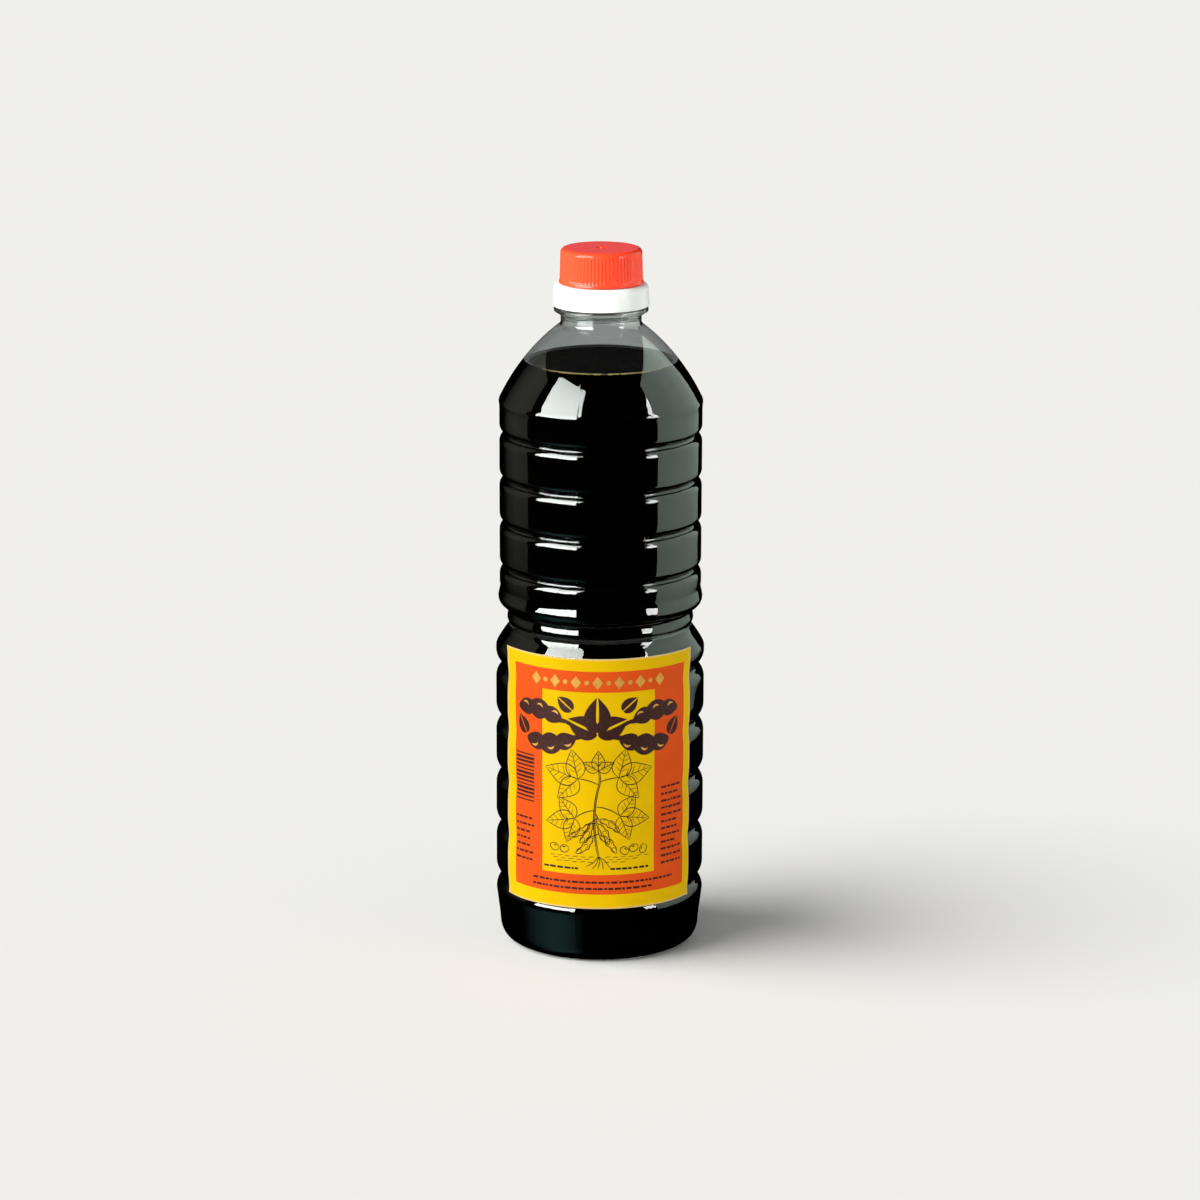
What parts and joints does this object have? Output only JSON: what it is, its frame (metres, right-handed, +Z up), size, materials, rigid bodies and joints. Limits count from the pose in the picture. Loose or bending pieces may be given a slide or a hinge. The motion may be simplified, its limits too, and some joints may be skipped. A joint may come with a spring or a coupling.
{
  "type": "soy sauce bottle",
  "caption": "Clear ribbed plastic bottle of soy sauce with a narrow waist, sloping shoulder, white neck collar, knurled orange-red screw cap and a yellow and orange front label.",
  "frame": {"origin": "on the floor under the bottle, on its axis", "axes": "+Z up along the bottle's axis, -Y towards the front, where the label faces"},
  "size_m": [0.0792, 0.0798, 0.268],
  "materials": {
    "clear_bottle": "polished",
    "soy_sauce": "gloss",
    "white_collar": "satin",
    "red_cap": "satin",
    "label_paper": "satin"
  },
  "bodies": {
    "root": {"bottle": "clear_bottle", "soy_sauce": "soy_sauce", "collar": "white_collar", "cap": "red_cap", "label": "label_paper"}
  },
  "joints": []
}
